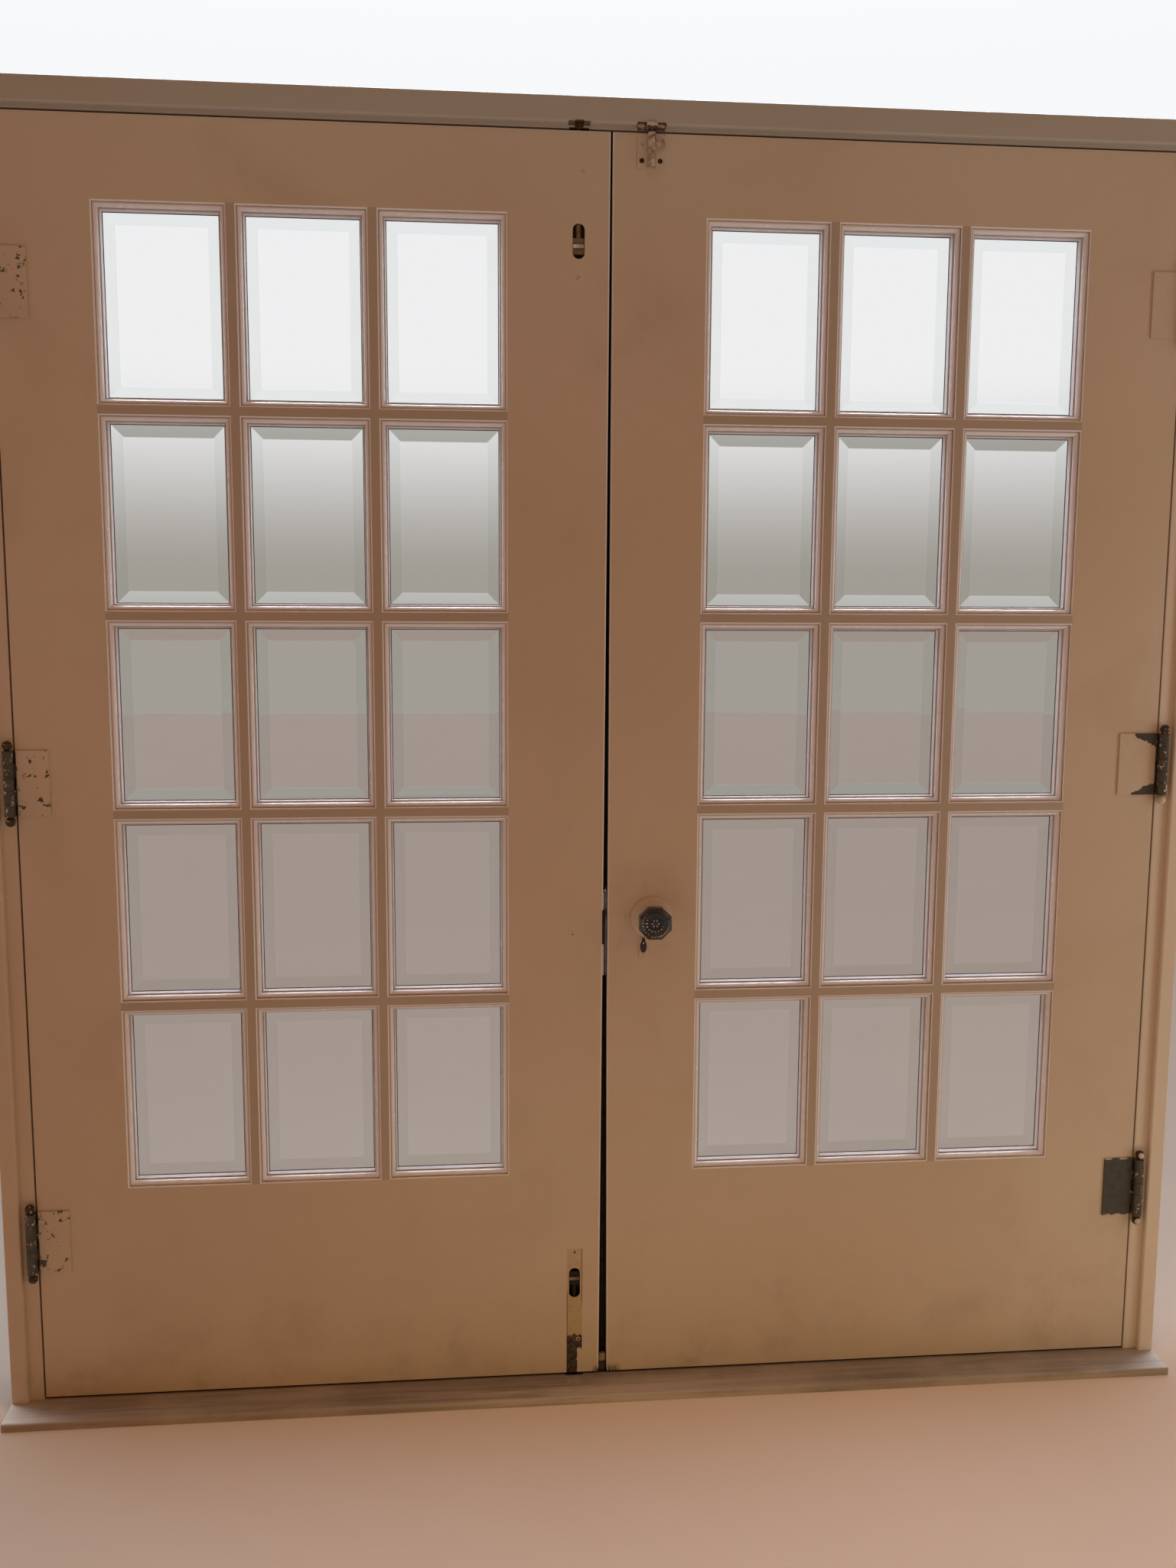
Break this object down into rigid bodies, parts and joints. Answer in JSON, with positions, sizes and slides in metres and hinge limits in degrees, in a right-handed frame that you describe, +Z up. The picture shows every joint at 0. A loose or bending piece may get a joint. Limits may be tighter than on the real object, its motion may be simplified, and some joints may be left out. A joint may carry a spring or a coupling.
{
  "type": "glazed french doors with frame",
  "caption": "Inward-opening pair of glazed timber doors in their rebated frame, with glazing bars, glass knobs, mortice lock, face-fixed hinges and bolts.",
  "frame": {"origin": "middle of the sill's underside, in the plane of the leaves' room faces", "axes": "+Z up, +Y from the room outwards, +X to the right seen from the room"},
  "size_m": [1.936, 0.217, 2.063],
  "materials": {
    "painted_timber": "worn cream gloss paint",
    "weathered_timber": "bare weathered wood",
    "clear_glass": "bevelled plate glass",
    "knob_glass": "pressed clear glass",
    "putty": "painted putty",
    "worn_iron": "dark iron with paint left on it",
    "painted_iron": "chipped cream paint over iron",
    "worn_brass": "dull brass with paint left on it",
    "steel": "dull"
  },
  "bodies": {
    "frame": {"jamb_left": "painted_timber", "jamb_right": "painted_timber", "head_jamb": "painted_timber", "sill": "weathered_timber", "casing_left": "painted_timber", "casing_right": "painted_timber", "casing_head": "painted_timber", "jamb_hinge_halves": "painted_iron", "hinge_pins": "worn_iron", "jamb_hinge_screws": "worn_iron", "flush_bolt_strikes": "worn_brass", "barrel_bolt_keeper": "painted_iron"},
    "left_leaf": {"left_hinge_stile": "painted_timber", "left_meeting_stile": "painted_timber", "left_top_rail": "painted_timber", "left_bottom_rail": "painted_timber", "left_upright_bars": "painted_timber", "left_cross_bars": "painted_timber", "left_glass_row_1": "clear_glass", "left_glass_row_2": "clear_glass", "left_glass_row_3": "clear_glass", "left_glass_row_4": "clear_glass", "left_glass_row_5": "clear_glass", "left_putty": "putty", "left_door_hinge_halves": "painted_iron", "left_door_hinge_screws": "worn_iron", "top_flush_bolt_plate": "worn_brass", "bottom_flush_bolt_plate": "worn_brass", "edge_strike": "worn_brass", "draught_strip": "painted_timber"},
    "right_leaf": {"right_hinge_stile": "painted_timber", "right_meeting_stile": "painted_timber", "right_top_rail": "painted_timber", "right_bottom_rail": "painted_timber", "right_upright_bars": "painted_timber", "right_cross_bars": "painted_timber", "right_glass_row_1": "clear_glass", "right_glass_row_2": "clear_glass", "right_glass_row_3": "clear_glass", "right_glass_row_4": "clear_glass", "right_glass_row_5": "clear_glass", "right_putty": "putty", "right_door_hinge_halves": "painted_iron", "right_door_hinge_screws": "worn_iron", "lock_case": "steel", "lock_faceplate": "worn_brass", "knob_roses": "painted_iron", "keyhole_plates": "worn_iron", "barrel_bolt_plate": "painted_iron"},
    "knob": {"lock_hub": "steel", "knob_spindle": "steel", "knob_shanks": "worn_brass", "inside_glass_knob": "knob_glass", "outside_glass_knob": "knob_glass"},
    "latch": {"latch_bolt": "worn_brass"},
    "dead_bolt": {"dead_bolt": "worn_brass"},
    "keyhole_cover": {"keyhole_cover": "worn_iron"},
    "barrel_bolt": {"barrel_bolt_slide": "worn_iron"},
    "top_flush_bolt": {"top_flush_bolt_slide": "worn_brass"},
    "bottom_flush_bolt": {"bottom_flush_bolt_slide": "worn_brass"}
  },
  "joints": [
    {"name": "left_leaf_swing", "type": "hinge", "parent": "frame", "child": "left_leaf", "pos_m": [-0.925, -0.009, 1], "axis": [0, 0, -1], "range_deg": [0, 110]},
    {"name": "right_leaf_swing", "type": "hinge", "parent": "frame", "child": "right_leaf", "pos_m": [0.925, -0.009, 1], "axis": [0, 0, 1], "range_deg": [0, 110]},
    {"name": "knob_turn", "type": "hinge", "parent": "right_leaf", "child": "knob", "pos_m": [0.0735, 0, 0.803], "axis": [0, -1, 0], "range_deg": [0, 45]},
    {"name": "latch_slide", "type": "slide", "parent": "right_leaf", "child": "latch", "axis": [-1, 0, 0], "range_m": [0, 0.012]},
    {"name": "dead_bolt_slide", "type": "slide", "parent": "right_leaf", "child": "dead_bolt", "axis": [-1, 0, 0], "range_m": [0, 0.012]},
    {"name": "keyhole_cover_swing", "type": "hinge", "parent": "right_leaf", "child": "keyhole_cover", "pos_m": [0.0605, 0, 0.766], "axis": [0, -1, 0], "range_deg": [-70, 70]},
    {"name": "barrel_bolt_slide", "type": "slide", "parent": "right_leaf", "child": "barrel_bolt", "axis": [0, 0, 1], "range_m": [0, 0.011]},
    {"name": "top_flush_bolt_slide", "type": "slide", "parent": "left_leaf", "child": "top_flush_bolt", "axis": [0, 0, 1], "range_m": [0, 0.014]},
    {"name": "bottom_flush_bolt_slide", "type": "slide", "parent": "left_leaf", "child": "bottom_flush_bolt", "axis": [0, 0, -1], "range_m": [0, 0.014]}
  ],
  "couplings": [
    {"joint": "latch_slide", "follows": "knob_turn", "m_per_rad": 0.015278}
  ]
}
